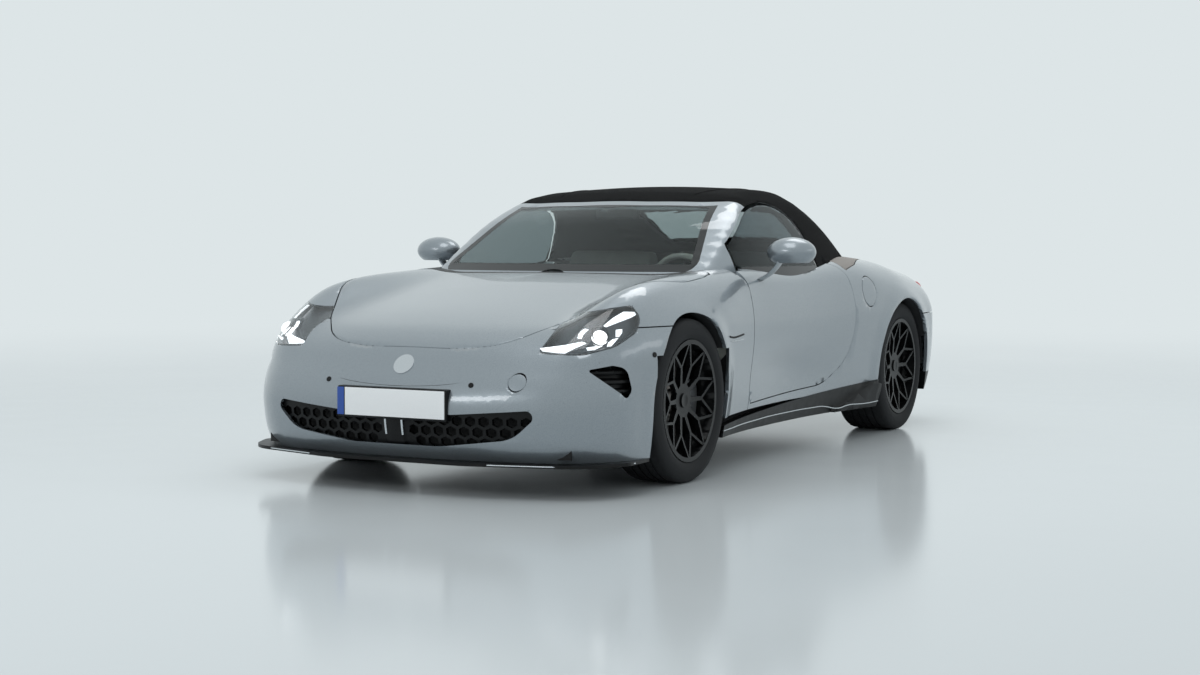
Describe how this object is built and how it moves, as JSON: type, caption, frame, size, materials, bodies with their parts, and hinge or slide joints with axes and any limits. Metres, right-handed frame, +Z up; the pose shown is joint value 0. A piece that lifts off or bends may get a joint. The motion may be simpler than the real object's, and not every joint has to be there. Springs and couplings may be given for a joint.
{
  "type": "two-seat electric roadster with a fabric roof",
  "caption": "Low two-seat roadster car with a closed fabric roof, upward swinging doors, long bonnet and split-spoke wheels.",
  "frame": {"origin": "on the ground, midway along and across the car", "axes": "+X to the car's left, -Y to its front, +Z up"},
  "size_m": [2.206, 4.5363, 1.3207],
  "materials": {
    "brake_iron": "turned",
    "cabin_trim": "grained dark trim",
    "casting": "cast",
    "chassis": "satin black underbody coat",
    "clear_glass": "lightly tinted",
    "lamp_glass": "clear lens",
    "lamp_inside": "dark chrome and black",
    "paint": "metallic silver-grey clear coat",
    "roof_cloth": "woven black roof cloth",
    "seat_trim": "light grey upholstery",
    "tail_red": "red lens",
    "trim_black": "satin black",
    "tyre": "matt rubber",
    "wheel_black": "gloss black with machined edges"
  },
  "bodies": {
    "body": {"floor_tub": "chassis", "front_bumper": "paint", "front_wing_left": "paint", "front_wing_right": "paint", "cowl_panel": "trim_black", "rear_quarter_left": "paint", "rear_quarter_right": "paint", "rear_bumper": "paint", "rear_diffuser": "trim_black", "tonneau_cover": "paint", "windscreen_frame": "paint", "windscreen": "clear_glass", "soft_top": "roof_cloth", "rear_window": "clear_glass", "dashboard": "cabin_trim", "centre_console": "cabin_trim", "seat_left": "seat_trim", "seat_right": "seat_trim", "headlamp_left": "lamp_glass", "headlamp_right": "lamp_glass", "lamp_housing_left": "lamp_inside", "lamp_housing_right": "lamp_inside", "tail_lamp": "tail_red", "lower_grille": "trim_black", "side_intake_left": "trim_black", "side_intake_right": "trim_black", "front_splitter": "trim_black", "side_skirt_left": "trim_black", "side_skirt_right": "trim_black", "battery_pack": "casting", "front_drive_unit": "casting", "rear_drive_unit": "casting", "front_suspension": "chassis", "rear_suspension": "chassis", "cabin_mirror": "cabin_trim"},
    "bonnet": {"bonnet": "paint"},
    "boot_lid": {"boot_lid": "paint"},
    "charge_flap": {"charge_flap": "paint"},
    "steering_wheel": {"steering_wheel": "seat_trim"},
    "door_left": {"door_left": "paint", "door_glass_left": "clear_glass", "mirror_left": "paint"},
    "knuckle_left": {"knuckle_left": "casting"},
    "door_right": {"door_right": "paint", "door_glass_right": "clear_glass", "mirror_right": "paint"},
    "knuckle_right": {"knuckle_right": "casting"},
    "wheel_front_left": {"tyre_front_left": "tyre", "rim_front_left": "wheel_black", "brake_disc_front_left": "brake_iron"},
    "wheel_front_right": {"tyre_front_right": "tyre", "rim_front_right": "wheel_black", "brake_disc_front_right": "brake_iron"},
    "wheel_rear_left": {"tyre_rear_left": "tyre", "rim_rear_left": "wheel_black", "brake_disc_rear_left": "brake_iron"},
    "wheel_rear_right": {"tyre_rear_right": "tyre", "rim_rear_right": "wheel_black", "brake_disc_rear_right": "brake_iron"}
  },
  "joints": [
    {"name": "bonnet_hinge", "type": "hinge", "parent": "body", "child": "bonnet", "pos_m": [0, -0.835, 0.862], "axis": [-1, 0, 0], "range_deg": [0, 45]},
    {"name": "boot_hinge", "type": "hinge", "parent": "body", "child": "boot_lid", "pos_m": [0, 1.54, 0.925], "axis": [1, 0, 0], "range_deg": [0, 60]},
    {"name": "flap_hinge", "type": "hinge", "parent": "body", "child": "charge_flap", "pos_m": [0.9085, 0.7525, 0.775], "axis": [0.195, 0, -0.9808], "range_deg": [0, 80]},
    {"name": "steering_left", "type": "hinge", "parent": "body", "child": "knuckle_left", "pos_m": [0.746, -1.3625, 0.352], "axis": [0, 0, 1], "range_deg": [-32, 32]},
    {"name": "steering_right", "type": "hinge", "parent": "body", "child": "knuckle_right", "pos_m": [-0.746, -1.3625, 0.352], "axis": [0, 0, 1], "range_deg": [-32, 32]},
    {"name": "steering_wheel_turn", "type": "hinge", "parent": "body", "child": "steering_wheel", "pos_m": [0.372, -0.2675, 0.8], "axis": [0, 0.9135, 0.4067], "range_deg": [-480, 480]},
    {"name": "door_left_hinge", "type": "hinge", "parent": "body", "child": "door_left", "pos_m": [0.848, -0.7145, 0.812], "axis": [0.9578, 0, -0.2873], "range_deg": [0, 75]},
    {"name": "door_right_hinge", "type": "hinge", "parent": "body", "child": "door_right", "pos_m": [-0.848, -0.7145, 0.812], "axis": [0.9578, 0, 0.2873], "range_deg": [0, 75]},
    {"name": "wheel_front_left_spin", "type": "hinge", "parent": "knuckle_left", "child": "wheel_front_left", "pos_m": [0.804, -1.3625, 0.352], "axis": [1, 0, 0], "continuous": true},
    {"name": "wheel_front_right_spin", "type": "hinge", "parent": "knuckle_right", "child": "wheel_front_right", "pos_m": [-0.804, -1.3625, 0.352], "axis": [1, 0, 0], "continuous": true},
    {"name": "wheel_rear_left_spin", "type": "hinge", "parent": "body", "child": "wheel_rear_left", "pos_m": [0.789, 1.3275, 0.352], "axis": [1, 0, 0], "continuous": true},
    {"name": "wheel_rear_right_spin", "type": "hinge", "parent": "body", "child": "wheel_rear_right", "pos_m": [-0.789, 1.3275, 0.352], "axis": [1, 0, 0], "continuous": true}
  ],
  "couplings": [
    {"joint": "steering_right", "follows": "steering_left", "ratio": 1},
    {"joint": "steering_wheel_turn", "follows": "steering_left", "ratio": 15}
  ]
}
